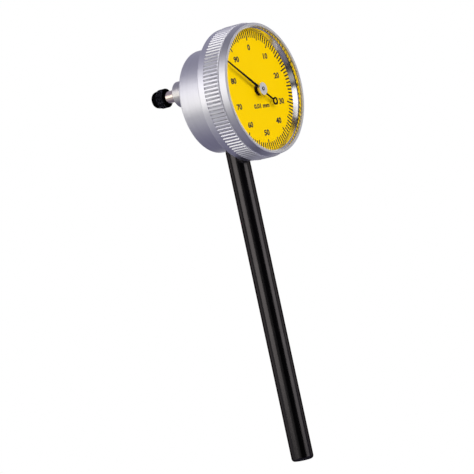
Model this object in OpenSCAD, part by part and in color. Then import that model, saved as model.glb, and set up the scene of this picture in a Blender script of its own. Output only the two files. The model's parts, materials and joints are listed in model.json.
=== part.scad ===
// Back plunger dial indicator, in millimetres.
// The origin is the centre of the mounting rod's free end. +Z runs up the rod, the dial faces -Y and the
// plunger points to +Y. Names starting with y_ are places along Y, measured from the rod's axis.

/* [Mounting rod] */
// Diameter of the rod
rod_d = 8; // [6.5:0.5:9]
// Length from the free end to the case wall
rod_len = 113; // [60:0.5:160]
// Rounding of the edge at the free end
rod_edge = 1.2; // [0.3:0.1:1.5]
// Diameter of the screwed end inside the case
rod_screw_d = 6; // [4:0.5:6]
// Length of the screwed end
rod_screw_len = 7; // [5:0.5:8]
// Step from the rod down to the spigot that sits in the case
rod_step = 0.25; // [0.1:0.05:0.4]
// Room between the rod's shoulder and the case
rod_gap = 0.2; // [0.05:0.05:0.5]
// Depth of the pocket that the spigot sits in
rod_pocket = 0.4; // [0.2:0.1:0.8]
// Wall of the boss round the screwed end
rod_boss_wall = 2; // [1.5:0.1:3]

/* [Case] */
// How far the bezel's band stands out beyond the case
case_inset = 5.3; // [5:0.1:6]
// Wall round the movement
case_wall = 2; // [1.5:0.1:2.2]
// Thickness of the back
back_wall = 3.1; // [2.2:0.1:4]
// Rounding of the back edge
case_edge = 0.6; // [0.2:0.1:1]
// Room between the crown wheel and the inside of the back
floor_gap = 0.56; // [0.3:0.02:2]
// Height of the collar that the bezel turns on
collar_step = 1.5; // [1.3:0.1:1.7]

/* [Bezel] */
// Diameter of the plain band at the back
bezel_d = 47.9; // [44:0.1:54]
// Width from front to back
bezel_w = 12.1; // [11:0.1:13]
// How much smaller the front edge is
bezel_taper = 0.8; // [0.4:0.1:1.2]
// Width of the plain band at the front
front_band_w = 2.7; // [2.2:0.1:2.9]
// How far the front band stays below the back band
band_step = 0.1; // [0:0.05:0.3]
// Width of the groove between the front band and the knurl's crests
groove_w = 0.65; // [0.4:0.05:0.8]
// Width of the groove's floor, from which the knurl's end slopes up
groove_floor = 0.15; // [0.1:0.05:0.3]
// Depth of the groove below the back band
groove_depth = 0.8; // [0.4:0.05:0.9]
// Width of the knurl
knurl_w = 6; // [4:0.05:6.4]
// Height of the knurl's crests over the back band
knurl_rise = 0.25; // [0.1:0.05:0.5]
// Height of the knurl's teeth
knurl_h = 0.4; // [0.3:0.05:0.8]
// Number of teeth in the knurl
knurl_teeth = 110; // [80:1:130]
// Rounding of the bezel's edges
bezel_edge = 0.3; // [0.1:0.05:0.5]
// How far the case collar stops short of the bezel's back
bezel_recess = 1; // [0.5:0.1:2]
// Running gap between the collar and the bezel
bezel_gap = 0.08; // [0.05:0.01:0.1]
// Wire of the ring that holds the bezel
wire_d = 0.9; // [0.7:0.1:1.1]
// Free angle between the ends of that wire
wire_open = 24; // [10:1:60]

/* [Dial and window] */
// From the rod's axis forward to the face of the dial
dial_reach = 14.4; // [13.8:0.1:16]
// Depth of the dial below the bezel's front
dial_sink = 3.46; // [3.2:0.02:4]
// Width of the bezel's rim round the window
rim_w = 1; // [0.9:0.05:1.2]
// Thickness of the dial
dial_t = 0.5; // [0.3:0.1:0.8]
// Centre hole of the dial
dial_hole_d = 4; // [3:0.1:6]
// Width of the polished ring on the dial
ring_wall = 1.15; // [1:0.05:1.3]
// Height of the ring's slope
ring_slope_h = 1.7; // [1:0.1:2.2]
// Width of the flat lip above the slope
ring_lip = 0.3; // [0.1:0.05:0.6]
// Wall of the ring from the lip to the window
ring_rim = 0.2; // [0.15:0.05:0.35]
// Thickness of the window
crystal_t = 0.6; // [0.4:0.05:0.7]
// Side clearance of the dial, ring and window in the bezel
seat_gap = 0.03; // [0.01:0.01:0.08]

/* [Pointer] */
// Reading in divisions of a hundredth of a turn
reading = 84.4; // [0:0.1:100]
// Room from the point to the polished ring
pointer_room = 0.7; // [0.5:0.1:6]
// Width at the hub
pointer_w = 1; // [0.6:0.1:1.6]
// Width at the point
pointer_tip_w = 0.44; // [0.2:0.02:0.6]
// Distance of the ring in the tail
tail_r = 8.7; // [6:0.1:12]
// Outside diameter of that ring
tail_d = 2.8; // [2:0.1:4]
// Width of the ring's line
tail_line = 0.6; // [0.3:0.05:0.8]
// Thickness of the hand
pointer_t = 0.25; // [0.15:0.05:0.4]
// Diameter of the silver boss
hub_d = 4.5; // [3:0.1:5]
// Height of the boss's face over the dial
hub_rise = 2.5; // [2.2:0.05:2.6]
// Thickness of the boss
hub_t = 0.8; // [0.4:0.1:1]

/* [Stem and plunger] */
// Height of the plunger above the dial's axis
plunger_up = 5.2; // [5:0.1:6]
// Outside diameter of the stem
stem_d = 9.5; // [9:0.1:10]
// Length of the stem behind the case
stem_len = 12.7; // [11.5:0.1:16]
// Bore of the stem
stem_bore_d = 7.2; // [6.8:0.1:7.4]
// Diameter of the stem's seat in the back of the case
stem_seat_d = 8.8; // [8.4:0.1:8.9]
// Chamfer at the stem's end
stem_edge = 0.4; // [0.2:0.1:0.8]
// Diameter of the plunger
plunger_d = 4.5; // [4.2:0.1:4.8]
// Length of plunger that shows at rest
plunger_out = 5.3; // [3.5:0.1:8]
// Full travel of the plunger
travel = 2.3; // [2:0.1:2.3]
// Running gap of the plunger in its bushes
plunger_gap = 0.02; // [0.01:0.01:0.05]
// Length of the front bush
front_bush_len = 3; // [2.6:0.1:3.5]
// Length of the rear bush
rear_bush_len = 5.5; // [4:0.1:5.8]
// Diameter of the contact point
tip_d = 7; // [6:0.1:8]
// Length of the contact point
tip_len = 5.8; // [5:0.1:8]
// Length of its knurled part
tip_knurl_len = 3.1; // [2:0.1:3.5]
// Height of the knurl on the contact point
tip_knurl_h = 0.16; // [0.05:0.01:0.3]
// Number of teeth in that knurl
tip_knurl_teeth = 40; // [24:1:60]
// Diameter of the domed end
tip_end_d = 4.8; // [3:0.1:5.4]
// Diameter of the plunger's screwed end in the contact point
tip_screw_d = 2.5; // [2:0.1:3]
// Length of that screwed end
tip_screw_len = 3.4; // [2:0.1:4]
// Wire of the return spring
spring_wire = 0.5; // [0.35:0.05:0.55]
// Turns of the return spring
spring_turns = 4.5; // [3:0.5:4.5]
// Diameter of the pin that keeps the plunger from turning
pin_d = 1.2; // [0.8:0.1:1.4]

/* [Gear train] */
// Pitch of the rack on the plunger
rack_pitch = 0.625; // [0.6:0.005:0.65]
// Teeth of the pinion on the rack
rack_pinion_teeth = 16; // [14:1:17]
// Depth of the rack's pitch line below the plunger's axis
rack_drop = 1.7; // [1.6:0.02:1.76]
// Module of the crown wheel, the pointer's pinion and the take-up wheel
train_module = 0.17; // [0.16:0.005:0.18]
// Teeth of the crown wheel
crown_teeth = 80; // [76:1:84]
// Width of the crown wheel's teeth
crown_face = 1; // [0.8:0.05:1.2]
// Leaves of the pointer's pinion
pinion_leaves = 8; // [8:1:8]
// Teeth of the take-up wheel
takeup_teeth = 60; // [56:2:62]
// Diameter of the arbors
arbor_d = 1.2; // [1:0.05:1.3]
// Diameter of the pivots
pivot_d = 0.8; // [0.6:0.05:0.9]
// Running gap of the pivots and arbors
pivot_gap = 0.02; // [0.01:0.01:0.04]
// Turns of the hairspring
hair_turns = 6; // [3:1:6]
// Thickness of the hairspring
hair_t = 0.1; // [0.06:0.01:0.12]

/* [Movement frame] */
// Thickness of the plate behind the dial
plate_t = 1; // [0.8:0.1:1.4]
// Room between the turning dial and the plate
dial_gap = 0.4; // [0.3:0.05:0.8]
// Room from the plate to the middle of the crown wheel's teeth
mesh_gap = 1.1; // [1:0.05:1.6]
// Thickness of the rear bridge
bridge_t = 0.8; // [0.6:0.1:0.9]
// Diameter of the bridge's posts
post_d = 2.4; // [2:0.1:2.6]
// Diameter of the pillars
pillar_d = 3; // [2.6:0.1:3.4]
// Thickness of the brackets
bracket_t = 1; // [0.8:0.1:1.2]
// Distance of each bracket's inner face from the middle
bracket_x = 3.6; // [3.2:0.1:4]
// Length of each bracket's foot
foot_len = 5; // [4:0.1:5.4]
// Diameter of the screws' threads
screw_d = 1.2; // [1:0.1:1.4]
// Diameter of the screws' heads
screw_head_d = 2.2; // [2:0.1:2.6]
// Height of the screws' heads
screw_head_h = 0.6; // [0.4:0.1:0.7]
// Clearance round screws, pins and pressed pieces
fit_gap = 0.01; // [0.005:0.005:0.02]

/* [Hidden] */
$fn = 64;

// Overrun of every cutting shape past the face that it leaves
cut = 0.2;
// Diameters that follow the bezel's
case_d = bezel_d - 2 * case_inset;
collar_d = case_d + 2 * collar_step;
bezel_front_d = bezel_d - bezel_taper;
dial_d = bezel_front_d - 2 * rim_w;
pointer_len = dial_d / 2 - ring_wall - pointer_room;

// Heights and the run of places along Y, front to back
axis_h = rod_len + case_d / 2;
y_dial = -dial_reach;
y_front = y_dial - dial_sink;
y_bezel_back = y_front + bezel_w;
y_dial_back = y_dial + dial_t;
y_plate = y_dial_back + dial_gap;
y_plate_back = y_plate + plate_t;
y_mesh = y_plate_back + mesh_gap;

// The train: crown wheel and rack pinion on a cross arbor, pointer's pinion on the dial's axis
pinion_r = train_module * pinion_leaves / 2;
crown_reach = train_module * crown_teeth / 2;
rack_module = rack_pitch / PI;
rack_pinion_r = rack_module * rack_pinion_teeth / 2;
arbor_up = plunger_up - rack_drop - rack_pinion_r;
y_arbor = y_mesh + crown_reach;
crown_out_r = norm([crown_reach + crown_face / 2, arbor_up]);
crown_in_r = norm([crown_reach - crown_face / 2, arbor_up]);
tooth_add = 0.8;
tooth_ded = 1.2;
wheel_add = 0.85;
wheel_ded = 1.15;
rack_tooth_share = 0.44;
leaf_share = 0.38;
takeup_tooth_share = 0.42;
// Gap at the ends of pivots, arbors and pins
end_gap = 0.1;
crown_add = 0.6 * train_module;
crown_ded = 1.1 * train_module;
crown_x = pinion_r - crown_add;
crown_root_x = pinion_r + crown_ded;
crown_rim_t = 0.7;
crown_web_t = 0.5;
crown_back_x = crown_root_x + crown_rim_t;
crown_hub_r = 1.6;
crown_boss = 0.6;
crown_gap_share = 0.56;
crown_lean = tan(16);
rack_pinion_x = [-1.2, -0.1];
rack_add = 0.9;
rack_gap_share = 0.53;
pressure_angle = 20;
rack_lean = tan(pressure_angle);

// Case and stem
case_r = case_d / 2;
bore_r = case_r - case_wall;
collar_r = collar_d / 2;
y_floor = y_arbor + crown_out_r + floor_gap;
y_back = y_floor + back_wall;
collar_gap = 0.3;
y_collar = y_dial_back + collar_gap;
y_collar_back = y_bezel_back - bezel_recess;
y_wire = (y_collar + y_collar_back) / 2;
wire_r = collar_r + bezel_gap / 2;
wire_gap = 0.1;
rod_boss_r = rod_screw_d / 2 + rod_boss_wall;
rod_boss_end = 0.4;
spigot_r = rod_d / 2 - rod_step;
rod_seat_h = sqrt(case_r * case_r - spigot_r * spigot_r) - rod_pocket;
y_stem_end = y_back + stem_len;

// Plunger, with its rack toward the front
plunger_r = plunger_d / 2;
rack_spare = 2.2;
rack_teeth = ceil((travel + rack_spare) / rack_pitch);
rack_flat = plunger_up - rack_drop - rack_add * rack_module;
plunger_flat_x = 0.15;
rack_lead = 1.75;
y_plunger_front = y_arbor - rack_lead * rack_pitch;
y_shoulder = y_stem_end + plunger_out;
y_flat_end = y_floor + travel - cut;
stop_gap = 0.1;
clip_t = 0.6;
clip_gap = 0.3;
clip_r = stem_bore_d / 2 - clip_gap;
clip_groove = 0.3;
clip_mouth = 0.8;
rear_bush_sink = 0.2;
y_rear_bush = y_stem_end - rear_bush_len - rear_bush_sink;
y_clip = y_rear_bush - stop_gap - clip_t;
y_front_bush_end = y_floor + front_bush_len;
pin_back = 5;
y_pin = y_arbor + pin_back;
pin_play = 0.05;
pin_overrun = 0.2;
tip_chamfer = 0.3;
tip_nose = 0.35;

// Return spring: a wire of flat sides, swept in steps
spring_r = (plunger_r + stem_bore_d / 2) / 2;
spring_seat = 0.05;
spring_steps = 8;
spring_sides = 6;
spring_rings = spring_steps * spring_turns;
spring_y0 = y_front_bush_end + spring_wire / 2 + spring_seat;
spring_y1 = y_clip - spring_wire / 2 - spring_seat;
spring_rise = (spring_y1 - spring_y0) / spring_turns;
spring_tilt = atan(spring_rise / (2 * PI * spring_r));

// Pointer and take-up arbors
y_hub = y_dial - hub_rise;
y_hand = y_hub + hub_t;
hub_cap = 0.2;
hub_collar_r = arbor_d / 2 + 0.5;
hub_collar_len = 1;
pinion_gap = 0.4;
pinion_spare = 1.2;
takeup_t = 0.5;
takeup_inset = 0.2;
y_pinion = [y_plate_back + pinion_gap, y_mesh + crown_face / 2 + pinion_spare];
y_takeup = [y_pinion[1] - takeup_inset - takeup_t, y_pinion[1] - takeup_inset];
y_bridge = y_pinion[1] + pinion_gap;
takeup_r = train_module * takeup_teeth / 2;
takeup_reach = pinion_r + takeup_r;
takeup_angle = 180 + 180 / pinion_leaves;
takeup_pos = takeup_reach * [cos(takeup_angle), sin(takeup_angle)];
collet_r = 1;
hair_pitch = 0.54;
hair_w = 0.5;
hair_out_r = collet_r + hair_turns * hair_pitch;
hair_end_angle = 100;
hair_steps = 24;
hair_gap = 0.6;
y_hair = y_plate_back + hair_gap;
stud_r = 0.5;
stud_reach = hair_out_r + hair_t / 2 + stud_r;
stud_pos = takeup_pos + stud_reach * [cos(hair_end_angle), sin(hair_end_angle)];

// Fixings
screw_slot = 0.3;
plate_screw_len = 4;
pillar_inset = 0.8;
pillar_ring = bore_r - pillar_d / 2 - pillar_inset;
pillar_angles = [90, 232, 330];
pillar_pos = [for (a = pillar_angles) pillar_ring * [cos(a), sin(a)]];
pillar_tenon = 1.4;
post_pos = [takeup_pos + [1.15, 7.7], takeup_pos + [3.2, -6.4]];
bridge_arm_w = 1.8;
bearing_boss_r = 0.9;
bracket_below = 3.4;
bracket_above = 2.8;
bracket_low = arbor_up - bracket_below;
bracket_high = plunger_up + bracket_above;
bracket_nose = 1.8;
nose_up = 2.2;
nose_down = 2;
nose_slope = 4;
nose_cut = 1.4;
foot_screw_inset = 1.8;
foot_screws = [bracket_low + foot_screw_inset, bracket_high - foot_screw_inset];
foot_mid_x = bracket_x + bracket_t + foot_len / 2;
bush_r = 1.2;
bush_flange = 0.3;
centre_bush_r = arbor_d / 2 + 0.9;
centre_flange_r = arbor_d / 2 + 1.3;

// Solid of revolution round an axis along Y at [x, z] from the dial's axis; points are [radius, y]
module turned(points, at = [0, 0]) {
    translate([at[0], 0, axis_h + at[1]]) rotate([-90, 0, 0]) rotate_extrude($fn = 96) polygon(points);
}

// Round bar along Y
module bar_y(r, y0, y1, at = [0, 0]) {
    translate([at[0], y0, axis_h + at[1]]) rotate([-90, 0, 0]) cylinder(r = r, h = y1 - y0);
}

// Tube along Y
module tube_y(r_out, r_in, y0, y1, at = [0, 0]) {
    difference() {
        bar_y(r_out, y0, y1, at);
        bar_y(r_in, y0 - cut, y1 + cut, at);
    }
}

// Round bar along X at [y, z from the dial's axis]
module bar_x(r, x0, x1, at) {
    translate([x0, at[0], axis_h + at[1]]) rotate([0, 90, 0]) cylinder(r = r, h = x1 - x0);
}

// Flat shape seen from the front, drawn in [x, z], between two places along Y
module slab_y(y0, y1, at = [0, 0]) {
    translate([at[0], y1, axis_h + at[1]]) rotate([90, 0, 0]) linear_extrude(y1 - y0) children();
}

// Flat shape seen from the right, drawn in [y, z], between two places along X
module slab_x(x0, x1, at = [0, 0]) {
    translate([x0, at[0], axis_h + at[1]]) rotate([90, 0, 90]) linear_extrude(x1 - x0) children();
}

// Box between two corners, with z from the dial's axis
module block(a, b) {
    translate([a[0], a[1], axis_h + a[2]]) cube(b - a);
}

// Points of a circle from one angle to another
function polar(r, a) = r * [cos(a), sin(a)];
function arc(c, r, a0, a1, n = 6) = [for (i = [0:n]) c + polar(r, a0 + (a1 - a0) * i / n)];

// Outline of an involute gear with teeth of a given width at the pitch circle, as a share of the pitch
function involute(a) = tan(a) - a * PI / 180;
function flank_angle(r, rp, width) =
    let (base = rp * cos(pressure_angle), a = r > base ? acos(base / r) : 0)
    (width / 2 / rp + involute(pressure_angle) - involute(a)) * 180 / PI;
function gear_points(n, m, width, add, ded, steps = 4) =
    let (
        rp = m * n / 2,
        radii = [for (i = [0:steps]) rp - ded * m + (add + ded) * m * i / steps],
        flanks = [for (r = radii) flank_angle(r, rp, width * PI * m)]
    )
    [for (t = [0:n - 1]) each concat(
        [for (i = [0:steps]) polar(radii[i], t * 360 / n - flanks[i])],
        [for (i = [steps:-1:0]) polar(radii[i], t * 360 / n + flanks[i])]
    )];

// Outline of a straight knurl
function knurl_points(n, r, h, crest = 0.36, root = 0.1) =
    let (tooth = [[root / 2 - 0.5, r - h], [-crest / 2, r], [crest / 2, r], [0.5 - root / 2, r - h]])
    [for (t = [0:n - 1]) for (k = tooth) polar(k[1], (t + k[0]) * 360 / n)];

// Screw along Y with its head at y and its point toward the front or the back
module screw_y(y, len, way, at) {
    shank = way > 0 ? [y, y + len] : [y - len, y];
    head = way > 0 ? [y - screw_head_h, y] : [y, y + screw_head_h];
    slot = way > 0 ? [head[0] - cut, y - screw_head_h / 2] : [y + screw_head_h / 2, head[1] + cut];
    half = [screw_head_d, screw_slot / 2];
    bar_y(screw_d / 2, shank[0], shank[1], at);
    difference() {
        bar_y(screw_head_d / 2, head[0], head[1], at);
        block([at[0] - half[0], slot[0], at[1] - half[1]], [at[0] + half[0], slot[1], at[1] + half[1]]);
    }
}

// Turned cup: collar for the bezel at the front, boss for the rod below, seat for the stem in the back
module case() {
    seat_h = case_r - rod_seat_h;
    boss_low = case_r - case_wall / 2;
    wire_half = wire_d / 2 + fit_gap;
    y_foot_hole = y_floor + back_wall / 2 + fit_gap;
    color([0.78, 0.78, 0.81]) difference() {
        union() {
            turned(concat(
                [[bore_r, y_collar], [collar_r, y_collar]],
                [[collar_r, y_collar_back], [case_r, y_collar_back]],
                arc([case_r - case_edge, y_back - case_edge], case_edge, 0, 90),
                [[0, y_back], [0, y_floor], [bore_r, y_floor]]
            ));
            intersection() {
                translate([0, 0, axis_h - boss_low])
                    cylinder(r = rod_boss_r, h = boss_low - rod_seat_h + rod_screw_len + rod_boss_end);
                bar_y(boss_low, y_collar, y_back - back_wall / 2);
            }
        }
        bar_y(stem_seat_d / 2 + fit_gap, y_floor - cut, y_back + cut, [0, plunger_up]);
        translate([0, 0, axis_h - case_r - cut]) cylinder(r = spigot_r + fit_gap, h = seat_h + cut);
        translate([0, 0, axis_h - case_r])
            cylinder(r = rod_screw_d / 2 + fit_gap, h = seat_h + rod_screw_len + rod_boss_end + cut);
        turned([
            [wire_r - wire_half, y_wire - wire_half], [collar_r + cut, y_wire - wire_half],
            [collar_r + cut, y_wire + wire_half], [wire_r - wire_half, y_wire + wire_half]
        ]);
        for (p = pillar_pos)
            bar_y(pillar_d / 4 + fit_gap, y_floor - cut, y_floor + pillar_tenon + fit_gap, p);
        for (s = [-1, 1]) for (z = foot_screws)
            bar_y(screw_d / 2 + fit_gap, y_floor - cut, y_foot_hole, [s * foot_mid_x, z]);
    }
}

// Mounting rod with a rounded free end, and a spigot and a screwed end in the case
module rod() {
    r = rod_d / 2;
    shoulder = rod_len - rod_gap;
    top = axis_h - rod_seat_h;
    color([0.1, 0.1, 0.11]) {
        rotate_extrude($fn = 96) polygon(concat(
            [[0, 0]], arc([r - rod_edge, rod_edge], rod_edge, -90, 0),
            [[r, shoulder], [spigot_r, shoulder], [spigot_r, top], [0, top]]
        ));
        translate([0, 0, top - cut]) cylinder(r = rod_screw_d / 2, h = rod_screw_len + cut);
    }
}

// Barrel on the back that guides the plunger and can be clamped
module stem() {
    color([0.8, 0.8, 0.83]) turned([
        [stem_bore_d / 2, y_floor], [stem_seat_d / 2, y_floor],
        [stem_seat_d / 2, y_back], [stem_d / 2, y_back],
        [stem_d / 2, y_stem_end - stem_edge], [stem_d / 2 - stem_edge, y_stem_end],
        [stem_bore_d / 2, y_stem_end]
    ], [0, plunger_up]);
}

// Plunger bearing toward the case, which the return spring stands on
module plunger_bush(y0, len) {
    tube_y(stem_bore_d / 2 - fit_gap, plunger_r + plunger_gap, y0, y0 + len, [0, plunger_up]);
}

module front_bush() {
    color("peru") plunger_bush(y_floor, front_bush_len);
}

// Plunger bearing at the end of the stem
module rear_bush() {
    color("peru") plunger_bush(y_rear_bush, rear_bush_len);
}

// Helical wire from the front bush to the plunger's clip
function spring_centre(i) =
    let (p = polar(spring_r, 360 * i / spring_steps))
    [p[0], spring_y0 + spring_rise * i / spring_steps, p[1]];
function spring_ring(i) =
    let (a = 360 * i / spring_steps, s = sin(spring_tilt))
    [for (k = [0:spring_sides - 1])
        let (b = polar(spring_wire / 2, 360 * k / spring_sides))
        spring_centre(i) + b[0] * [cos(a), 0, sin(a)] + b[1] * [s * sin(a), cos(spring_tilt), -s * cos(a)]];
function spring_faces(n, s) = concat(
    [for (i = [0:n - 1]) for (k = [0:s - 1]) [i * s + k, (i + 1) * s + k, (i + 1) * s + (k + 1) % s]],
    [for (i = [0:n - 1]) for (k = [0:s - 1]) [i * s + k, (i + 1) * s + (k + 1) % s, i * s + (k + 1) % s]],
    [for (k = [1:s - 2]) [0, k, k + 1]],
    [for (k = [1:s - 2]) [n * s, n * s + k + 1, n * s + k]]
);
// Least room between two turns of the wire
function spring_room() = min([
    for (i = [0:spring_rings - spring_steps]) for (k = [spring_steps - 2:spring_steps + 2])
        if (i + k <= spring_rings) norm(spring_centre(i) - spring_centre(i + k))
]) - spring_wire;
echo(return_spring_least_gap = spring_room(), hairspring_least_gap = hair_pitch - hair_t);

module return_spring() {
    color("silver") translate([0, 0, axis_h + plunger_up])
        polyhedron(
            points = [for (i = [0:spring_rings]) each spring_ring(i)],
            faces = spring_faces(spring_rings, spring_sides)
        );
}

// Open wire ring, half in the collar and half in the bezel
module bezel_wire() {
    color("silver") translate([0, y_wire, axis_h]) rotate([-90, 0, 0])
        rotate_extrude(angle = 360 - wire_open, $fn = 96) translate([wire_r, 0]) circle(d = wire_d, $fn = 24);
}

// Plate behind the dial that carries the movement
module movement_plate() {
    plate_gap = 0.2;
    color("goldenrod") difference() {
        bar_y(bore_r - plate_gap, y_plate, y_plate_back);
        bar_y(centre_bush_r + fit_gap, y_plate - cut, y_plate_back + cut);
        bar_y(pivot_d / 2 + pivot_gap, y_plate - cut, y_plate_back + cut, takeup_pos);
        for (p = pillar_pos) {
            bar_y(screw_d / 2 + fit_gap, y_plate - cut, y_plate_back + cut, p);
            bar_y(screw_head_d / 2 + fit_gap, y_plate - cut, y_plate + screw_head_h, p);
        }
        for (p = post_pos) bar_y(screw_d / 2 + fit_gap, y_plate_back - plate_t / 2, y_plate_back + cut, p);
        bar_y(stud_r / 2 + fit_gap, y_plate - cut, y_plate_back + cut, stud_pos);
    }
}

// Three pillars from the back of the case to the plate
module movement_pillars() {
    color("darkgoldenrod") for (p = pillar_pos) difference() {
        union() {
            bar_y(pillar_d / 2, y_plate_back, y_floor, p);
            bar_y(pillar_d / 4, y_floor - pillar_tenon, y_floor + pillar_tenon, p);
        }
        bar_y(screw_d / 2 + fit_gap, y_plate_back - cut, y_plate_back + plate_screw_len, p);
    }
}

module plate_screws() {
    color("dimgray") for (p = pillar_pos) screw_y(y_plate + screw_head_h, plate_screw_len, 1, p);
}

// Flanged bush in the plate for the pointer's arbor
module centre_bush() {
    color("peru") difference() {
        union() {
            bar_y(centre_bush_r, y_plate, y_plate_back + bush_flange / 2);
            bar_y(centre_flange_r, y_plate_back, y_plate_back + bush_flange);
        }
        bar_y(arbor_d / 2 + pivot_gap, y_plate - cut, y_plate_back + bush_flange + cut);
    }
}

// Arm of the bridge between two places on the plate
module bridge_arm(a, b) {
    d = b - a;
    slab_y(y_bridge, y_bridge + bridge_t, a) rotate(atan2(d[1], d[0])) translate([0, -bridge_arm_w / 2])
        square([norm(d), bridge_arm_w]);
}

// Rear bridge on two posts, with the rear bearings of the pointer's and take-up arbors
module centre_bridge() {
    color("goldenrod") difference() {
        union() {
            bar_y(bearing_boss_r, y_bridge, y_bridge + bridge_t);
            bar_y(post_d / 2, y_bridge, y_bridge + bridge_t, takeup_pos);
            bridge_arm([0, 0], takeup_pos);
            for (p = post_pos) {
                bridge_arm(takeup_pos, p);
                bar_y(post_d / 2, y_plate_back, y_bridge + bridge_t, p);
            }
        }
        for (p = [[0, 0], takeup_pos])
            bar_y(pivot_d / 2 + pivot_gap, y_bridge - cut, y_bridge + bridge_t + cut, p);
        for (p = post_pos)
            bar_y(screw_d / 2 + fit_gap, y_plate_back - cut, y_bridge + bridge_t + cut, p);
    }
}

module bridge_screws() {
    y = y_bridge + bridge_t;
    color("dimgray") for (p = post_pos) screw_y(y, y - y_plate_back + plate_t / 2 - cut, -1, p);
}

// Cheek of a bracket with its bearing hole, and the foot on the back of the case; side is -1 left, 1 right
module bracket(side) {
    x0 = side > 0 ? bracket_x : -bracket_x - bracket_t;
    foot = side > 0 ? [bracket_x, foot_mid_x + foot_len / 2] : [-foot_mid_x - foot_len / 2, -bracket_x];
    y_nose = y_arbor - bracket_nose;
    difference() {
        union() {
            slab_x(x0, x0 + bracket_t) polygon([
                [y_floor, bracket_low], [y_floor, bracket_high], [y_nose + nose_slope, bracket_high],
                [y_nose, arbor_up + nose_up], [y_nose, arbor_up - nose_down], [y_nose + nose_cut, bracket_low]
            ]);
            block([foot[0], y_floor - bracket_t, bracket_low], [foot[1], y_floor, bracket_high]);
        }
        bar_x(bush_r + fit_gap, x0 - cut, x0 + bracket_t + cut, [y_arbor, arbor_up]);
        for (z = foot_screws)
            bar_y(screw_d / 2 + fit_gap, y_floor - bracket_t - cut, y_floor + cut, [side * foot_mid_x, z]);
    }
}

// Left bracket, slotted for the pin that guides the plunger
module left_bracket() {
    half = pin_d / 2 + pin_play;
    x = [-bracket_x - bracket_t - cut, cut - bracket_x];
    slot = [y_pin - travel - pin_overrun, y_pin + pin_overrun];
    color("goldenrod") difference() {
        bracket(-1);
        block([x[0], slot[0], plunger_up - half], [x[1], slot[1], plunger_up + half]);
        for (y = slot) bar_x(half, x[0], x[1], [y, plunger_up]);
    }
}

module right_bracket() {
    color("goldenrod") bracket(1);
}

module bracket_screws() {
    color("dimgray") for (s = [-1, 1]) for (z = foot_screws)
        screw_y(y_floor - bracket_t, bracket_t + back_wall / 2, 1, [s * foot_mid_x, z]);
}

// Bearings of the cross arbor in the two brackets
module arbor_bushes() {
    color("peru") for (x = [-bracket_x - bracket_t, bracket_x]) difference() {
        bar_x(bush_r, x, x + bracket_t, [y_arbor, arbor_up]);
        bar_x(pivot_d / 2 + pivot_gap, x - cut, x + bracket_t + cut, [y_arbor, arbor_up]);
    }
}

// Post on the plate that holds the outer end of the hairspring
module hairspring_stud() {
    color("dimgray") {
        bar_y(stud_r, y_plate_back, y_hair + hair_w, stud_pos);
        bar_y(stud_r / 2, y_plate + plate_t / 4, y_plate_back, stud_pos);
    }
}

// Knurled ring with the seat of the dial, ring and window, and a groove for the wire
module bezel() {
    r = bezel_d / 2;
    band_r = r - band_step;
    crest_r = r + knurl_rise;
    root_r = crest_r - knurl_h;
    groove_r = r - groove_depth;
    seat_r = dial_d / 2 + seat_gap;
    bore = collar_r + bezel_gap;
    y_groove = y_front + front_band_w;
    y_knurl_end = y_groove + groove_w + knurl_w;
    wire_room = wire_d / 2 + wire_gap;
    // The knurl's sloping end at a radius
    function end_point(at_r) = [
        at_r, y_groove + groove_floor + (groove_w - groove_floor) * (at_r - groove_r) / (crest_r - groove_r)
    ];
    color([0.8, 0.8, 0.83]) {
        turned(concat(
            [[bore, y_dial_back], [seat_r, y_dial_back], [seat_r, y_front]],
            arc([bezel_front_d / 2 - bezel_edge, y_front + bezel_edge], bezel_edge, -90, 0),
            [[band_r, y_groove], [groove_r, y_groove], end_point(groove_r), end_point(root_r),
             [root_r, y_knurl_end], [r, y_knurl_end]],
            arc([r - bezel_edge, y_bezel_back - bezel_edge], bezel_edge, 0, 90),
            [[bore, y_bezel_back], [bore, y_wire + wire_room], [wire_r + wire_room, y_wire + wire_room],
             [wire_r + wire_room, y_wire - wire_room], [bore, y_wire - wire_room]]
        ));
        intersection() {
            slab_y(y_groove, y_knurl_end) polygon(knurl_points(knurl_teeth, crest_r, knurl_h));
            turned([
                end_point(root_r - cut), end_point(crest_r + cut),
                [crest_r + cut, y_knurl_end + cut], [root_r - cut, y_knurl_end + cut]
            ]);
        }
    }
}

module dial_plate() {
    color([1, 0.82, 0]) tube_y(dial_d / 2, dial_hole_d / 2, y_dial, y_dial_back);
}

// Polished ring on the dial: a sloping reflector, a flat lip and a thin wall up to the window
module dial_ring() {
    r = dial_d / 2;
    y_lip = y_dial - ring_slope_h;
    y_window = y_front + crystal_t;
    color([0.85, 0.85, 0.86]) turned([
        [r - ring_wall, y_dial], [r, y_dial], [r, y_window], [r - ring_rim, y_window],
        [r - ring_rim, y_lip], [r - ring_rim - ring_lip, y_lip]
    ]);
}

module crystal() {
    color([0.9, 0.95, 1, 0.3]) bar_y(dial_d / 2, y_front, y_front + crystal_t);
}

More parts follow.
